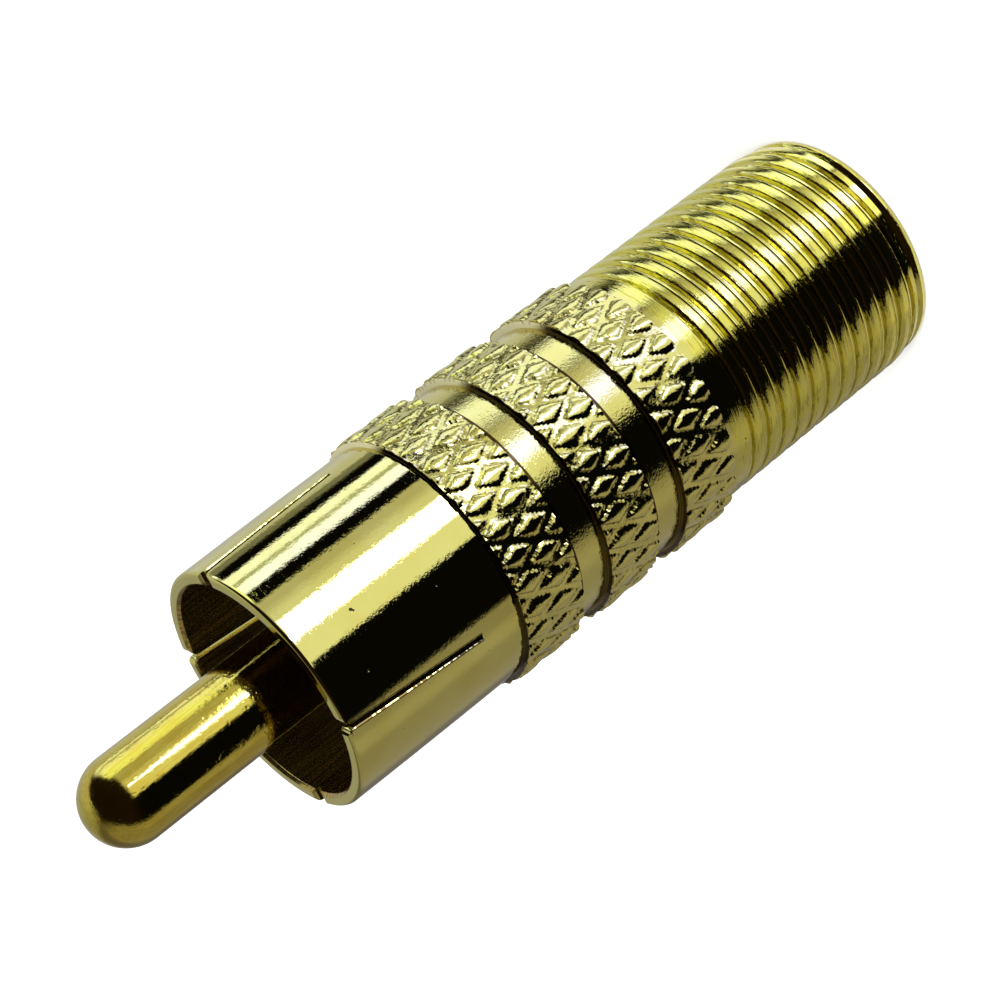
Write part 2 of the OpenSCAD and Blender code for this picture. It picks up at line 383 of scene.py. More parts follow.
def body_plate(name, colours, knurl):
    """Bright gold plating over turned brass: mirror-like on the skirt, sandy on the grip, marked by the tool
    on the thread, and browner in the socket. Its colour paints shade in the corners under the bands, round
    the diamonds' feet and on the steps' faces, and a highlight on the steps' far ends."""
    finish = Finish(name)
    ease, within, noise = finish.ease, finish.within, finish.noise
    x, y, height = finish.xyz(finish.place)
    radius = (x * x + y * y) ** 0.5
    cloud, wave = noise(0.6, 3.0), noise(2.2, 2.0)
    grain, sand = noise(6.5, 2.0, 0.6), noise(12.0, 2.0, 0.6)
    tooling, drawn = noise(1.0, 3.0, 0.6, (1.2, 1.2, 11.0)), noise(1.0, 3.0, 0.6, (8.0, 8.0, 0.4))

    thread = 1.0 - ease(height, *THREAD_END)
    grip = within(height, *GRIP_SPAN)
    inside = (1.0 - ease(radius, *SOCKET_WALL)) * ease(height, *SOCKET_FLOOR)
    deep = 1.0 - ease(height, *SOCKET_FADE)
    ends = (1.0 - ease(height, *SKIRT_FOOT)).most(ease(height, *SKIRT_MOUTH)) * ease(height, *SKIRT_START)
    side_on = ease(x, *FAR_SIDE)
    shadowed = (1.0 - side_on) * ease(radius, *STEP_TOP)

    pits = sum(finish.spot(angle, PIT_RADIUS, at * MM, size * MM) for angle, at, size in MARKS)
    # Painted shade: a dark line on the ring just below the foot of each band but the lowest.
    corner = sum(within(height, foot - CORNER_SHADE_REACH, foot + SEAM, SEAM) for foot, _ in BANDS[1:])
    corner = corner * (1.0 - ease(radius, *RING_WALL))
    # The bands' top faces, where the colour paints shade, and a highlight on their far ends.
    step = sum(within(height, foot + tall - SEAM, foot + tall + SEAM, HAIR) for foot, tall in BANDS)
    step = step * (1.0 - ease(radius, *BAND_EDGE))
    azimuth, lean = SAW_CUTS[1]
    off = abs(y * cos(azimuth) - x * sin(azimuth) - (top_of("body") - height) * sin(lean))
    dashes = ease(noise(5.0, 1.0, 0.5, (0.05, 0.05, 1.0)), 0.46, 0.52)
    burr = within(off, *BURR_LINE, HAIR).most(within(off, *BURR_DASHES, HAIR) * dashes)
    burr = burr * ease(height, *CUT_END) * ease(radius, *SKIRT_WALL) * (y < 0.0)
    # Painted shade: a dark line round the foot of each diamond.
    feet_shade = diamond_feet(finish, knurl, x, y, height) * ease(radius, *KNURL_GROUND) * grip

    relief = wave * WAVE + grain * (GRAIN + GRIP_GRAIN * grip) + sand * (SAND + GRIP_SAND * grip)
    relief = relief * (1.0 - 0.5 * ends) * (1.0 - 0.7 * inside)
    relief = relief + tooling * (TOOLING + THREAD_TOOLING * thread) - pits * PIT
    # What each place adds to the roughness.
    rough = POLISHED
    for share, place in ((0.02, ease(grain, 0.45, 0.8)), (0.02, grip), (0.008, thread), (0.12, inside),
                         (0.5, pits), (0.1, corner), (0.4 - 0.35 * shadowed, step), (0.1, feet_shade)):
        rough = rough + share * place
    plate = finish.blend(ease(cloud, 0.35, 0.7), colours.gold, colours.deep_gold)
    lining = finish.blend(ease(drawn, 0.42, 0.6), colours.socket_gold, colours.stain_and_step_shade)
    # Tints laid one over the other, each by its share: real streaks on the thread and in the socket, then
    # painted shade on the steps' faces, darker where shadowed, and a painted highlight on their far ends.
    for share, tint in ((thread * ease(tooling, 0.35, 0.55), colours.thread_gold),
                        (thread * ease(tooling, 0.57, 0.64) * 0.5, colours.stain_and_step_shade),
                        (inside, lining), (step * (1.0 - side_on), colours.stain_and_step_shade),
                        (step * shadowed, colours.pit_and_shade), (step * side_on * 0.7, colours.step_highlight)):
        plate = finish.blend(share, plate, tint)
    # Darkening: real pits and burrs, with painted shade under the bands and round the diamonds' feet.
    shade_and_dirt = (pits * 0.9).most(corner * 0.97).most(burr * 0.95).most(feet_shade * ease(wave, 0.35, 0.55) * 0.6)
    finish.set(Base_Color=finish.blend(shade_and_dirt, plate, colours.pit_and_shade), Roughness=rough,
               Metallic=1.0 - (0.03 + 0.06 * deep) * inside - 0.6 * step * side_on,
               Normal=finish.bump(relief))
    return finish.material


def pin_plate(name, colour, deep_colour):
    """Gold plating on a drawn and tumbled pin: fine marks along the axis and small nicks."""
    finish = Finish(name)
    cloud, wave = finish.noise(0.8, 3.0), finish.noise(2.5, 2.0)
    drawn = finish.noise(1.0, 3.0, 0.6, (11.0, 11.0, 0.8))
    grain, nicks = finish.noise(7.0, 3.0, 0.65), finish.noise(5.5, 1.0, 0.5, (1.0, 1.0, 0.6))
    relief = wave * PIN_WAVE + drawn * PIN_DRAWN + grain * PIN_GRAIN
    relief = relief - PIN_NICKS * finish.ease(nicks, 0.6, 0.72)
    deep = finish.ease(cloud * 0.4 + drawn * 0.6, 0.42, 0.58)
    nose = finish.ease(finish.xyz(finish.place)[2], *NOSE)
    rough = TUMBLED + 0.06 * finish.ease(grain, 0.4, 0.75) + 0.06 * nose
    finish.set(Base_Color=finish.blend(deep, colour, deep_colour), Metallic=1.0, Roughness=rough,
               Normal=finish.bump(relief))
    return finish.material


def moulded_plastic(name, colour, second_colour):
    """Moulded plastic with a faint mottle and a fine matt grain."""
    finish = Finish(name)
    mottle, grain = finish.noise(1.5, 3.0), finish.noise(14.0, 2.0)
    finish.set(Base_Color=finish.blend(finish.ease(mottle, 0.3, 0.7), colour, second_colour),
               Roughness=0.42 + 0.16 * grain, Normal=finish.bump(grain * MOULD_GRAIN))
    return finish.material


# Settings that a user would change

def length(name, description, default):
    return bpy.props.FloatProperty(name=name, description=description, default=default, min=0.0,
                                   unit="LENGTH", precision=5)


def proportion(name, description, default):
    return bpy.props.FloatProperty(name=name, description=description, default=default, min=0.05, max=1.0)


def direction(name, description, degrees):
    return bpy.props.FloatProperty(name=name, description=description, default=radians(degrees),
                                   subtype="ANGLE")


def facets(description, default):
    return bpy.props.IntProperty(name="Columns", description=description, default=default, min=24)


def colour(name, description, default):
    return bpy.props.FloatVectorProperty(name=name, description=description, default=default, size=3,
                                         subtype="COLOR", min=0.0, max=1.0)


class ADAPTER_PG_body(bpy.types.PropertyGroup):
    """Sizes of the turned body."""

    band_radius: length("Band radius", "Radius over the knurled grip bands", radius_of("body"))
    ring_radius: length("Ring radius", "Radius of the smooth rings between the bands", 4.70 * MM)
    skirt_root_radius: length("Skirt root radius", "Outer radius of the skirt at the grip", 4.76 * MM)
    skirt_mouth_radius: length("Skirt mouth radius", "Outer radius of the skirt at its mouth", 4.69 * MM)
    socket_radius: length("Socket radius", "Inner radius of the skirt", 4.18 * MM)
    band_corner: length("Band corner", "Rounding of the grip bands' edges", 0.1 * MM)
    slot_width: length("Slot width", "Width of the saw cuts through the skirt", 0.17 * MM)
    slot_edge: length("Slot edge", "Width of the bevels along the saw cuts' outer edges", 0.03 * MM)
    slot_depth: length("Slot depth", "Depth of the saw cuts from the mouth", 5.8 * MM)
    columns: facets("Facets round the turned body", 240)


class ADAPTER_PG_thread(bpy.types.PropertyGroup):
    """Sizes of the 3/8-32 thread."""

    crest_radius: length("Crest radius", "Radius over the thread", 4.7625 * MM)
    pitch: length("Pitch", "Height of one turn of the thread", 25.4 * MM / 32)
    depth: length("Depth", "Depth of the thread's groove", 0.19 * MM)
    first_groove: length("First groove", "Height of the lowest groove at the groove azimuth", 0.76 * MM)
    groove_azimuth: direction("Groove azimuth", "Direction where the grooves have their stated heights", 285)
    columns: facets("Facets round the thread", 160)


class ADAPTER_PG_knurl(bpy.types.PropertyGroup):
    """Sizes of the diamond knurl."""

    count: bpy.props.IntProperty(name="Count", description="Diamonds in one row", default=30, min=8)
    pitch: length("Pitch", "Distance along the axis between two rows of the same phase", 2.05 * MM)
    height: length("Height", "Height of the diamonds over the ground between them", 0.13 * MM)
    foot_share: proportion("Foot share", "Share of its cell's width that each diamond fills", 0.72)
    fullness: proportion("Fullness", "Near 0 the diamonds are flat-topped and steep, at 1 domed", 0.33)
    dents: length("Dents", "Depth of the dents in the grip bands", 0.05 * MM)
    first_row: length("First row", "Height of the topmost row", 21.325 * MM)
    azimuth: direction("Azimuth", "Direction of the topmost row's first diamond", 5.3)
    columns: facets("Facets round the grip bands", 390)


class ADAPTER_PG_finish(bpy.types.PropertyGroup):
    """Colours of the pieces."""

    gold: colour("Gold", "Plating of the body", (0.55, 0.49, 0.14))
    deep_gold: colour("Deep gold", "Richer patches in the plating", (0.53, 0.455, 0.115))
    thread_gold: colour("Thread gold", "Yellower streaks on the thread", (0.60, 0.53, 0.08))
    socket_gold: colour("Socket gold", "Thin plating inside the skirt", (0.44, 0.31, 0.07))
    # Painted highlight on the far ends of the steps between the bands.
    step_highlight: colour("Dull plating", "Dull ends of the steps between the bands", (0.66, 0.63, 0.45))
    # Real streaks in the thread and the socket, and painted shade on the steps' faces.
    stain_and_step_shade: colour("Stain", "Dull streaks in the thread and the socket", (0.22, 0.155, 0.045))
    # Real pits in the plating, and painted shade under the bands, round the diamonds' feet and on the shaded
    # steps.
    pit_and_shade: colour("Pit", "Pits in the plating and dirt in its corners", (0.035, 0.018, 0.004))
    pin_gold: colour("Pin gold", "Plating of the pin and the contact", (0.50, 0.41, 0.065))
    deep_pin_gold: colour("Deep pin gold", "Richer streaks on the pin", (0.47, 0.345, 0.045))
    black: colour("Black plastic", "Bead that carries the pin", (0.012, 0.010, 0.009))
    ivory: colour("Ivory plastic", "Bead at the F end", (0.78, 0.74, 0.60))


# Pieces

def threaded_barrel(tree, thread, profile):
    """The barrel as one sheet whose rows follow the thread's helix, with a rounded lip and a shallow ring.

    The profile is a curve of (share of the depth, share of a pitch) through one groove."""
    lip_rows, ring_rows, overlap = 8, 7, 0.4 * MM
    nose_rows = lip_rows + ring_rows
    lip_radius, rim_radius, lip_height = mm(4.61, 4.44, 0.17)
    ring_foot, ring_top, ring_depth = mm(0.22, 0.5, 0.13)
    ring_entry, ring_exit = 0.62, 0.3
    start, end = 0.51 * MM, BARREL_TOP - 0.42 * MM
    run_in, run_out, taper = mm(0.55, 0.85), (end - 0.8 * MM, end - 0.1 * MM), mm(0.3, 1.3)
    crest, pitch, depth, first, azimuth, columns = tree.sizes(
        "Thread", thread, "crest_radius", "pitch", "depth", "first_groove", "groove_azimuth", "columns")
    turns = ceil((end - thread.first_groove) / thread.pitch) + 2
    steps = tree.points_in(profile)
    helix_rows = steps * turns
    grid, turn, row = tree.sheet(columns, helix_rows + (nose_rows + 3))

    lip_angle = tree.ramp(row, 1.0, lip_rows + 1.0) * (pi / 2)
    ring_share = tree.ramp(row, lip_rows + 1.0, lip_rows + ring_rows)
    on_ring = row > lip_rows + 0.5
    nose_z = lip_height * (1.0 - lip_angle.cosine())
    nose_z = nose_z + (ring_foot + (ring_top - ring_foot) * ring_share - nose_z) * on_ring
    hollow = (ring_share / ring_entry).least((1.0 - ring_share) / ring_exit).least(1.0)
    nose_radius = rim_radius + (lip_radius - rim_radius) * lip_angle.sine() - ring_depth * hollow * on_ring

    place = row - float(nose_rows + 1)
    groove = (place / steps).floor()
    share, _, fraction = tree.xyz(tree.sampled(profile, place - groove * steps))
    height = first + (groove + fraction - 1.0 + turn - azimuth / tau) * pitch
    height = height.most(start).least(end)
    withdrawn = (1.0 - tree.ramp(height, *run_in)).most(tree.ramp(height, *run_out))
    lead_in = (crest - lip_radius) * (1.0 - tree.ease(height, *taper))
    helix_radius = crest - lead_in - depth * (share - withdrawn).most(0.0)

    on_nose = row < nose_rows + 0.5
    top_row = row > helix_rows + (nose_rows + 0.5)
    pole = (row < 0.5).most(row > helix_rows + (nose_rows + 1.5))
    radius = nose_radius * on_nose + helix_radius * (1.0 - on_nose)
    z = nose_z * on_nose + height * (1.0 - on_nose)
    z = z + (BARREL_TOP + overlap - z) * top_row
    return tree.wrap(grid, turn, radius * (1.0 - pole), z)


def knurled_drums(tree, knurl, band_radius, outlines):
    """The grip bands: drums with rows of raised diamonds, each a little differently worn."""
    count, pitch, tall, foot_share, fullness, first, azimuth, dents, columns = tree.sizes(
        "Knurl", knurl, "count", "pitch", "height", "foot_share", "fullness", "first_row", "azimuth", "dents",
        "columns")
    top = tree.given("Band radius", band_radius)
    drums, wear_share, foot_spread, dents_per_mm, dent_level = [], 0.2, 0.08, 3.2, 0.35
    for outline in outlines:
        grid, turn, row = tree.sheet(columns, tree.points_in(outline))
        radius, _, height = tree.xyz(tree.sampled(outline, row))
        across = (turn - azimuth / tau) * count
        down = (first - height) / pitch
        left, right = across + down, across - down
        left_cell, right_cell = (left + 0.5).floor(), (right + 0.5).floor()
        column = tree.math("FLOORED_MODULO", left_cell + right_cell, count * 2.0)
        cell = tree.vector(left_cell - right_cell, column, 0.0)
        wear, worn_foot, _ = tree.xyz(tree.node("ShaderNodeTexWhiteNoise", {"noise_dimensions": "3D"},
                                                {"Vector": cell}, "Color"))
        foot = foot_share * (1.0 - foot_spread + 2 * foot_spread * worn_foot) * 0.5
        left_off, right_off = (left - left_cell) / foot, (right - right_cell) / foot
        dome = (1.0 - left_off * left_off).most(0.0) * (1.0 - right_off * right_off).most(0.0)
        rise = dome ** fullness * (1.0 - wear_share * wear)
        angle = turn * tau
        dent = tree.node("ShaderNodeTexNoise", {}, {
            "Vector": tree.vector(angle.cosine() * radius, angle.sine() * radius, height),
            "Scale": dents_per_mm / MM, "Detail": 2.0})
        knurled = top - tall * (1.0 - rise) - dents * (dent - dent_level).most(0.0)
        drums.append(tree.wrap(grid, turn, radius.least(knurled), height))
    return drums


def saw_cutter(tree, width, depth, edge, settings, azimuth, lean):
    """A slab right across the skirt, whose faces curve apart at the mouth and bevel its outer edges."""
    levels, straight, curved, steps, steep, mouth = 14, 6.0, 6.0, 3, 1.1, top_of("body")
    flare, past = mm(0.32, 0.4)
    root_radius, mouth_radius = settings.skirt_root_radius, settings.skirt_mouth_radius
    slab = tree.node("GeometryNodeMeshCube", inputs={
        "Size": (1.0, 1.0, 1.0), "Vertices X": 2 * steps + 2, "Vertices Y": 2, "Vertices Z": levels})
    x, y, z = tree.xyz(tree.place)
    level = ((z + 0.5) * (levels - 1) + 0.5).floor()
    angle = tree.ramp(level, straight, straight + curved) * (pi / 2)
    height = (angle.sine() - 1.0) * flare + past * (level > levels - 1.5)
    height = height + (-depth - height) * (1.0 - tree.ramp(level, 0.0, straight))
    opening = (1.0 - angle.cosine()) * flare

    step = (0.5 - abs(x)) * (2 * steps + 1)
    bevel = 1.0 - tree.ramp(step, 1.0, steps)
    outside = mouth_radius + (root_radius - mouth_radius) * (-height / (mouth - SKIRT_ROOT))
    reach = outside - edge * steep * (1.0 - bevel) + past * (step < 0.5)
    opening = opening + edge * bevel
    side = 2.0 * (x > 0.0) - 1.0
    place = tree.vector(reach * side, y * (width + 2.0 * opening), height)
    shaped = tree.node("GeometryNodeSetPosition", inputs={"Geometry": slab, "Position": place})
    leaning = tree.moved(shaped, (0, 0, mouth), (lean, 0, 0))
    return tree.moved(leaning, rotation=(0, 0, azimuth))


def band_outline(radius, foot, tall, corner):
    """Outline of one grip band from the axis out and back, with rounded edges and many points on its face."""
    steps, row_height = 4, 0.07 * MM
    arc = [pi / 2 * i / steps for i in range(steps + 1)]
    rows = round((tall - 2 * corner) / row_height)
    lower = [(radius - corner + corner * sin(t), foot + corner - corner * cos(t)) for t in arc]
    upper = [(r, 2 * foot + tall - z) for r, z in reversed(lower)]
    face = [(radius, foot + corner + (tall - 2 * corner) * i / rows) for i in range(1, rows)]
    return [(0, foot), *lower, *face, *upper, (0, foot + tall)]


class ADAPTER_OT_body(bpy.types.Operator):
    """Build the turned body with its thread, knurled bands and slotted skirt"""

    bl_idname = "adapter.body"
    bl_label = "Body"

    def execute(self, context):
        settings, knurl, mouth = context.scene.adapter_body, context.scene.adapter_knurl, top_of("body")
        lip, lip_row, reach, inside_bands, seat_lead, mouth_lead = mm(0.14, 0.02, 0.5, 0.3, 0.13, 0.1)
        rows, belly = 16, 0.012 * MM
        root_radius, ring_radius = settings.skirt_root_radius, settings.ring_radius
        levels = [i / rows for i in range(rows)] + [1.0 - (lip + lip_row) / (mouth - SKIRT_ROOT), 1.0]
        skirt = [(root_radius + (settings.skirt_mouth_radius - root_radius) * level
                  + belly * sin(pi * level),
                  SKIRT_ROOT + (mouth - SKIRT_ROOT) * level, lip * (level == 1.0)) for level in levels]
        core = [(0, BARREL_TOP + inside_bands), (ring_radius, BARREL_TOP + inside_bands),
                (ring_radius, SKIRT_ROOT - inside_bands), (root_radius, SKIRT_ROOT - inside_bands),
                *skirt, (0, mouth)]
        groove = [(0, -0.149), (0.028, -0.067), (0.112, 0.008), (0.244, 0.074), (0.379, 0.115), (0.95, 0.185),
                  (1, 0.2), (1, 0.29), (0.95, 0.305), (0.12, 0.445), (0, 0.525), (0, 0.535), (0.17, 0.59),
                  (0.17, 0.605), (0, 0.66), (0, 0.70)]

        seat_radius, _, seat_top = extent("f_bead")
        floor, socket_radius = top_of("rca_bead") - FLANGE_HEIGHT, settings.socket_radius
        hollow = [(0, -reach), (seat_radius + seat_lead + reach, -reach), (seat_radius, seat_lead, 0.05 * MM),
                  (seat_radius, seat_top), (SPIGOT_RADIUS, seat_top), (SPIGOT_RADIUS, floor),
                  (socket_radius, floor), (socket_radius, mouth - mouth_lead, 0.12 * MM),
                  (socket_radius + mouth_lead + reach, mouth + reach), (0, mouth + reach)]
        drums = [band_outline(settings.band_radius, foot, tall, settings.band_corner) for foot, tall in BANDS]

        tree = PieceTree("turned_body", settings.columns)
        blank, cavity = tree.turned(0, 5), tree.turned(1, 5)
        barrel = threaded_barrel(tree, context.scene.adapter_thread, tree.outline(2, 1))
        grip = knurled_drums(tree, knurl, settings.band_radius, [tree.outline(part, 1) for part in (3, 4, 5)])
        slot = tree.sizes("Body", settings, "slot_width", "slot_depth", "slot_edge")
        saws = [saw_cutter(tree, *slot, settings, azimuth, lean) for azimuth, lean in SAW_CUTS]
        whole = tree.cut(tree.joined(blank, barrel, *grip), cavity, *saws)
        gold = body_plate("gold_plate", context.scene.adapter_finish, knurl)
        build_piece(tree, whole, gold, [core, hollow, groove, *drums], "body_turned", "body",
                    sharp=24)
        return {"FINISHED"}


class ADAPTER_OT_pin(bpy.types.Operator):
    """Build the round nosed centre pin"""

    bl_idname = "adapter.pin"
    bl_label = "Centre pin"

    def execute(self, context):
        colours = context.scene.adapter_finish
        (radius, foot, tip), (_, spigot, shoulder) = extent("centre_pin"), extent("rca_bead")
        soft, tail_soft = mm(0.05, 0.12)
        outline = [(0, foot), (TAIL_RADIUS, foot, tail_soft), (TAIL_RADIUS, spigot),
                   (SHANK_RADIUS, spigot, soft), (SHANK_RADIUS, shoulder), (radius, shoulder, soft),
                   (radius, tip, radius), (0, tip)]
        tree = PieceTree("turned_pin", columns=160)
        gold = pin_plate("pin_plate", colours.pin_gold, colours.deep_pin_gold)
        pin = tree.turned(0, corner_steps=20)
        build_piece(tree, pin, gold, [outline], "pin_turned", "centre_pin")
        return {"FINISHED"}


class ADAPTER_OT_rca_bead(bpy.types.Operator):
    """Build the black bead that carries the pin"""

    bl_idname = "adapter.rca_bead"
    bl_label = "RCA bead"

    def execute(self, context):
        colours = context.scene.adapter_finish
        outer, foot, top = extent("rca_bead")
        past, rim, hub, recess, soft = mm(0.3, 3.3, 2.2, 0.12, 0.1)
        flange, low = top - FLANGE_HEIGHT, top - recess
        outside = [(0, foot), (SPIGOT_RADIUS, foot, 0.2 * MM), (SPIGOT_RADIUS, flange),
                   (outer, flange, 0.08 * MM), (outer, top, 0.15 * MM), (rim, top, soft),
                   (rim - soft, low, soft), (hub + soft, low, soft), (hub, top, soft), (0, top)]
        bore = [(0, foot - past), (SHANK_RADIUS, foot - past), (SHANK_RADIUS, top + past), (0, top + past)]
        tree = PieceTree("moulded_rca_bead", columns=120)
        bead = tree.cut(tree.turned(0, 4), tree.turned(1, 1))
        plastic = moulded_plastic("black_plastic", colours.black, (0.02, 0.018, 0.016))
        build_piece(tree, bead, plastic, [outside, bore], "rca_bead_moulded", "rca_bead")
        return {"FINISHED"}


class ADAPTER_OT_contact(bpy.types.Operator):
    """Build the split contact that grips the cable's centre wire"""

    bl_idname = "adapter.contact"
    bl_label = "F contact"

    def execute(self, context):
        colours = context.scene.adapter_finish
        outer, foot, top = extent("f_contact")
        bore, fingers, taper, past, web, flare = mm(0.55, 5.2, 0.4, 0.3, 1.7, 0.25)
        tail_foot = foot_of("centre_pin")
        outside = [(0, foot), (outer - taper, foot, 0.2 * MM), (outer, foot + fingers, 0.6 * MM),
                   (outer, top, 0.15 * MM), (0, top)]
        wire_bore = [(0, foot - past), (bore + flare + past, foot - past), (bore, foot + flare, 0.1 * MM),
                     (bore, tail_foot - web), (0, tail_foot - web)]
        tail_bore = [(0, tail_foot), (TAIL_RADIUS, tail_foot), (TAIL_RADIUS, top + past), (0, top + past)]
        tree = PieceTree("split_contact", columns=96)
        gap = tree.given("Finger gap", 0.3 * MM)
        saw = tree.node("GeometryNodeMeshCube", inputs={"Size": tree.vector(4 * outer, gap, fingers + past)})
        saw = tree.moved(saw, (0, 0, foot + (fingers - past) / 2))
        contact = tree.cut(tree.turned(0, 4), tree.turned(1, 4), tree.turned(2, 4), saw)
        gold = pin_plate("contact_plate", colours.pin_gold, colours.deep_pin_gold)
        build_piece(tree, contact, gold, [outside, wire_bore, tail_bore], "f_contact_split", "f_contact")
        return {"FINISHED"}


class ADAPTER_OT_f_bead(bpy.types.Operator):
    """Build the ivory bead at the F end"""

    bl_idname = "adapter.f_bead"
    bl_label = "F bead"

    def execute(self, context):
        colours = context.scene.adapter_finish
        (outer, foot, top), room = extent("f_bead"), radius_of("f_contact") + 0.1 * MM
        wire, funnel, funnel_depth, wall, past = mm(0.75, 1.5, 1.0, 1.6, 0.3)
        slope = (funnel - wire) / funnel_depth
        outside = [(0, foot), (outer, foot, 0.15 * MM), (outer, top, 0.1 * MM), (0, top)]
        hole = [(0, foot - past), (funnel + past * slope, foot - past),
                (wire, foot + funnel_depth, 0.15 * MM), (wire, foot + wall), (room, foot + wall),
                (room, top + past), (0, top + past)]
        tree = PieceTree("moulded_f_bead", columns=120)
        bead = tree.cut(tree.turned(0, 4), tree.turned(1, 4))
        plastic = moulded_plastic("ivory_plastic", colours.ivory, (0.70, 0.66, 0.52))
        build_piece(tree, bead, plastic, [outside, hole], "f_bead_moulded", "f_bead")
        return {"FINISHED"}


# Stage

# Cards round the object, painted one over the other on the dark tent, which is a faint brown overhead. Each
# has its light, the softness of its sides, then where it starts and ends as seen in the grip, in the skirt
# and in the pin: the angle there from the camera's side towards -X, in degrees. The last two numbers are the
# height in degrees up to which it stands and that edge's softness.
BASE_LIGHT, UPPER_LIGHT, OVERHEAD = (0.004, 0.004, 0.004), (0.018, 0.010, 0.006), (0, 25)
NONE = (0, 0)
CARDS = (
    ((0.42, 0.40, 0.38), 1.4, (32, 93), (31.5, 93), (36, 93), 70, 20),
    ((0.56, 0.53, 0.50), 2.5, (37, 47), (40, 47.5), (39, 46), 20, 20),
    ((0.20, 0.19, 0.20), 4.0, (73, 83), (72, 83), (68, 82), 70, 20),
    ((0.50, 0.51, 0.48), 4.0, (86, 98), (86, 98), (84, 98), 70, 20),
    ((0.83, 0.87, 0.92), 1.0, (-93, -57), (-93, -59), (-93, -56), 70, 20),
    ((0.60, 0.62, 0.59), 5.0, (-98, -74), (-98, -74), (-98, -72), 70, 20),
    ((0.50, 0.51, 0.48), 4.0, NONE, NONE, (-98, -84), 70, 20),
    ((0.30, 0.32, 0.33), 0.8, (-57, -52.5), (-59, -55), NONE, 8, 6),
    ((1.75, 1.95, 2.9), 2.2, (-46.8, -30.6), NONE, NONE, 14, 6),
    ((1.8, 2.05, 3.3), 0.6, NONE, (-48.8, -39.0), (-55, -38), 14, 6),
    ((1.9, 2.15, 5.0), 0.6, NONE, (-41.0, -35.6), NONE, 14, 6),
    ((1.8, 2.1, 1.9), 2.4, NONE, NONE, (-43, -30), 14, 6),
    ((0.75, 0.85, 1.0), 0.4, NONE, (-43.6, -41.4), (-51.5, -48.2), 12, 8),
    ((0.80, 0.82, 0.85), 0.6, (-28.5, 1.6), (-29.0, 2.6), (-30, 4.5), 6, 6),
    ((1.18, 1.25, 1.36), 3.0, (-23, -11), (-23, -11), (-17, -8), 5, 5),
    ((1.38, 1.46, 1.55), 0.5, (-10, 1.0), (-10, 2.6), (-8, 4.0), 3, 4),
    ((2.2, 2.45, 7.5), 0.3, (-17.3, -8.7), NONE, NONE, -4, 4),
    ((9.0, 9.5, 14.0), 0.3, NONE, (-17.7, -7.8), NONE, -4, 3),
    ((7.0, 8.5, 34.0), 0.3, NONE, NONE, (-12.6, -6.4), -4, 3),
)
GRIP, SKIRT, PIN = 2, 3, 4


def smooth(value, start, end):
    """0 before start and 1 after end, with a smooth step between."""
    share = min(1.0, max(0.0, (value - start) / (end - start)))
    return share * share * (3 - 2 * share)


def card_light(angle, where, height, narrowing=0.0):
    """Light from the cards that the grip, the skirt or the pin shows at that angle. The last card, the lamp,
    narrows from the pin's root to its nose."""
    light = Vector(BASE_LIGHT).lerp(Vector(UPPER_LIGHT), smooth(height, *OVERHEAD))
    for card in CARDS:
        start, end = card[where]
        if card is CARDS[-1]:
            start, end = start + narrowing, end - narrowing
        soft, top, top_soft = card[1], card[5], card[6]
        if start == end:
            continue
        cover = smooth(angle, start - soft, start + soft) * (1 - smooth(angle, end - soft, end + soft))
        cover *= 1 - smooth(height, top - top_soft, top + top_soft)
        light = light.lerp(Vector(card[0]), cover)
    return light


def glowing(name, rows):
    """An object that only reflections see, from rows that hold a point and its light in turn."""
    mesh = bpy.data.meshes.new(name)
    wide = len(rows[0])
    faces = [(a, a - 1, a - 1 - wide, a - wide) for a in range(wide, wide * len(rows)) if a % wide]
    mesh.from_pydata([point for row in rows for point, _ in row], [], faces)
    glow = mesh.attributes.new("glow", "FLOAT_COLOR", "POINT")
    glow.data.foreach_set("color", [part for row in rows for _, light in row for part in (*light, 1.0)])
    material = bpy.data.materials.new(name)
    material.use_nodes = True
    material.node_tree.nodes.clear()
    tree = Tree(material.node_tree)
    level = tree.node("ShaderNodeAttribute", {"attribute_name": "glow"}, output="Color")
    shine = tree.node("ShaderNodeEmission", {}, {"Color": level, "Strength": 1.0})
    tree.node("ShaderNodeOutputMaterial", {}, {"Surface": shine})
    mesh.materials.append(material)
    card = placed(name, mesh)
    card.visible_camera = card.visible_diffuse = card.visible_shadow = card.visible_transmission = False


def mirrored_ray(angle, radius, eye):
    """Where a ray from the eye meets a round wall at that angle from -Y, and the way it goes on, in plan."""
    outward = Vector((-sin(angle), -cos(angle)))
    point = outward * radius
    way = (point - eye).normalized()
    return point, way - 2 * way.dot(outward) * outward


def floor_cards(eye):
    """Cards that lie on the floor. Their sides follow the rays that the round walls mirror, so that each
    shows as a straight band along the skirt and along the pin, which mirrors the parts further out. Close
    to the foot they are brighter, which shows in the flanks of the thread. Each ring has the radius of the
    wall that mirrors it, how far off it lies in mm, the wall's place in a card, and its gain."""
    wall, pin = 4.76, 1.6
    rings = ((pin, 705.0, PIN, 1.0), (pin, 120.0, PIN, 1.0), (pin, 90.0, PIN, 1.0), (wall, 84.0, SKIRT, 1.0),
             (wall, 43.0, SKIRT, 1.0), (wall, 42.2, GRIP, 1.0), (wall, 4.4, GRIP, 1.0),
             (wall, 3.4, GRIP, 1.5), (wall, 0.0, GRIP, 1.5))
    count, first, last, below, nose_from, narrowing, lift = 500, -89, 89, -25, 100, 2.3, 0.02 * MM
    rows = []
    for i in range(count + 1):
        degrees = first + (last - first) * i / count
        row = []
        for radius, far, where, gain in rings:
            point, way = mirrored_ray(radians(degrees), radius * MM, eye)
            light = card_light(degrees, where, below, narrowing * (far > nose_from)) * gain
            row.append(((*(point + way * far * MM), lift), light))
        rows.append(row)
    glowing("floor_cards", rows)


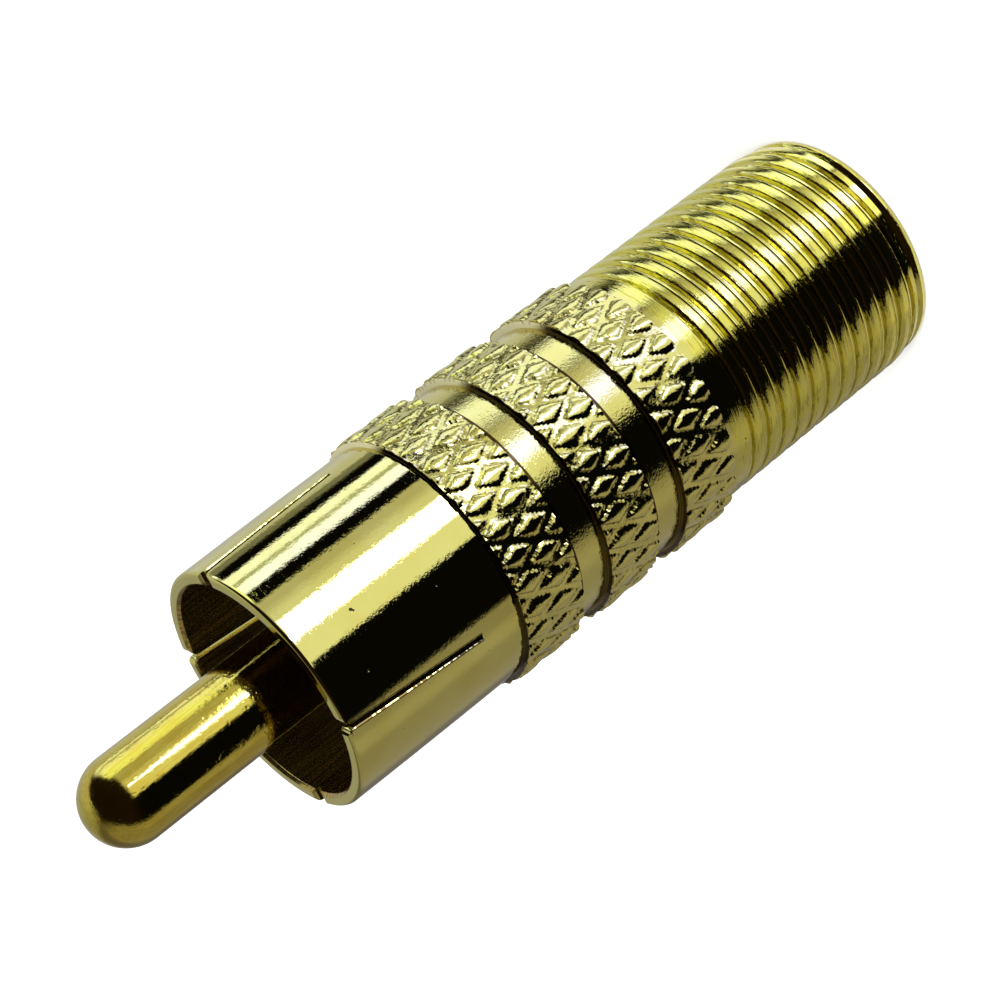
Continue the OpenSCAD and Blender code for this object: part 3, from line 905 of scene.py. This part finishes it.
def tent(radius=0.7):
    """The dark tent over the table, with the cards that stand up from it."""
    around, up, low, top = 480, 46, -3, 90
    rows = []
    for i in range(around + 1):
        side = -180 + 360 * i / around
        east, north = -sin(radians(side)), -cos(radians(side))
        row = []
        for j in range(up + 1):
            height = low + (top - low) * j / up
            flat, rise = radius * cos(radians(height)), radius * sin(radians(height))
            row.append(((flat * east, flat * north, rise), card_light(side / 2, PIN, height)))
        rows.append(row)
    glowing("tent", rows)


class ADAPTER_OT_stage(bpy.types.Operator):
    """Set up the floor, the light and the camera"""

    bl_idname = "adapter.stage"
    bl_label = "Stage"

    def execute(self, context):
        scene = context.scene
        eye = Vector((0.0, -85.025, 59.0)) * MM
        forward = Vector((0.0019, 0.8975, -0.4410)).normalized()
        right = Vector((-0.6153, -0.3466, -0.7080))
        right = (right - right.dot(forward) * forward).normalized()
        up = right.cross(forward)
        lens = bpy.data.cameras.new("camera")
        lens.lens, lens.sensor_width = 98.764, 36.0
        lens.clip_start, lens.clip_end = 1 * MM, 10.0
        scene.camera = placed("camera", lens)
        turn = Matrix((right, up, -forward)).transposed().to_4x4()
        scene.camera.matrix_world = Matrix.Translation(eye) @ turn

        mesh = bpy.data.meshes.new("floor")
        far, level, white = 3.0, -0.02 * MM, (1.0, 1.0, 1.0, 1.0)
        corners = ((-far, -far), (far, -far), (far, far), (-far, far))
        mesh.from_pydata([(*corner, level) for corner in corners], [], [(0, 1, 2, 3)])
        paper = Finish("paper")
        fibre = paper.noise(0.4, 3.0)
        paper.set(Base_Color=paper.blend(fibre, (0.83, 0.83, 0.83), (0.85, 0.85, 0.85)), Roughness=0.9,
                  Specular_IOR_Level=0.0)
        x, y, _ = paper.xyz(paper.place)
        far_off = paper.ease((x * x + y * y) ** 0.5, *mm(120, 350))
        seen = far_off * paper.node("ShaderNodeLightPath", output="Is Camera Ray")
        glow = paper.node("ShaderNodeEmission", {}, {"Color": white, "Strength": 1.0})
        plain = Value(paper, paper.shader.outputs[0])
        both = paper.node("ShaderNodeMixShader", {}, {0: seen, 1: plain, 2: glow})
        paper.feed(both, paper.material.node_tree.nodes["Material Output"].inputs["Surface"])
        mesh.materials.append(paper.material)
        floor = placed("floor", mesh)

        world = bpy.data.worlds.new("studio")
        world.use_nodes = True
        background = world.node_tree.nodes["Background"]
        background.inputs["Color"].default_value = white
        background.inputs["Strength"].default_value = 1.0
        scene.world = world
        sky = bpy.data.lights.new("softbox", "AREA")
        sky.shape, sky.size, sky.energy = "DISK", 0.5, 4.0
        lamp = placed("softbox", sky)
        lamp.location = (0.0, -0.35, 0.5)
        lamp.rotation_euler = (-Vector(lamp.location)).to_track_quat("-Z", "Y").to_euler()
        lamp.visible_glossy = False

        floor_cards(eye.xy)
        tent()
        scene.view_settings.view_transform = "Standard"
        return {"FINISHED"}


class ADAPTER_PT_panel(bpy.types.Panel):
    """The adapter's pieces and settings"""

    bl_label = "Adapter"
    bl_space_type = "VIEW_3D"
    bl_region_type = "UI"
    bl_category = "Adapter"

    def draw(self, context):
        for title, group, operators in PANEL_ROWS:
            box = self.layout.box()
            box.label(text=title)
            for operator in operators:
                box.operator(operator.bl_idname)
            if group:
                settings = getattr(context.scene, group)
                for name in settings.bl_rna.properties.keys():
                    if name not in ("rna_type", "name"):
                        box.prop(settings, name)


GROUPS = (("adapter_body", ADAPTER_PG_body), ("adapter_thread", ADAPTER_PG_thread),
          ("adapter_knurl", ADAPTER_PG_knurl), ("adapter_finish", ADAPTER_PG_finish))
OPERATORS = (ADAPTER_OT_body, ADAPTER_OT_pin, ADAPTER_OT_rca_bead, ADAPTER_OT_contact, ADAPTER_OT_f_bead,
             ADAPTER_OT_stage)
PANEL_ROWS = (("Body", "adapter_body", OPERATORS[:1]), ("Thread", "adapter_thread", ()),
              ("Knurl", "adapter_knurl", ()), ("Other pieces", None, OPERATORS[1:5]),
              ("Colours", "adapter_finish", ()), ("Stage", None, OPERATORS[5:]))


def register():
    for name, group in GROUPS:
        bpy.utils.register_class(group)
        setattr(bpy.types.Scene, name, bpy.props.PointerProperty(type=group))
    for operator in OPERATORS:
        bpy.utils.register_class(operator)
    bpy.utils.register_class(ADAPTER_PT_panel)


def unregister():
    bpy.utils.unregister_class(ADAPTER_PT_panel)
    for operator in reversed(OPERATORS):
        bpy.utils.unregister_class(operator)
    for name, group in reversed(GROUPS):
        delattr(bpy.types.Scene, name)
        bpy.utils.unregister_class(group)


def main():
    """Builds every piece and the stage."""
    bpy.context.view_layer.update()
    register()
    bpy.ops.adapter.body()
    bpy.ops.adapter.pin()
    bpy.ops.adapter.rca_bead()
    bpy.ops.adapter.contact()
    bpy.ops.adapter.f_bead()
    bpy.ops.adapter.stage()


if __name__ == "__main__":
    main()
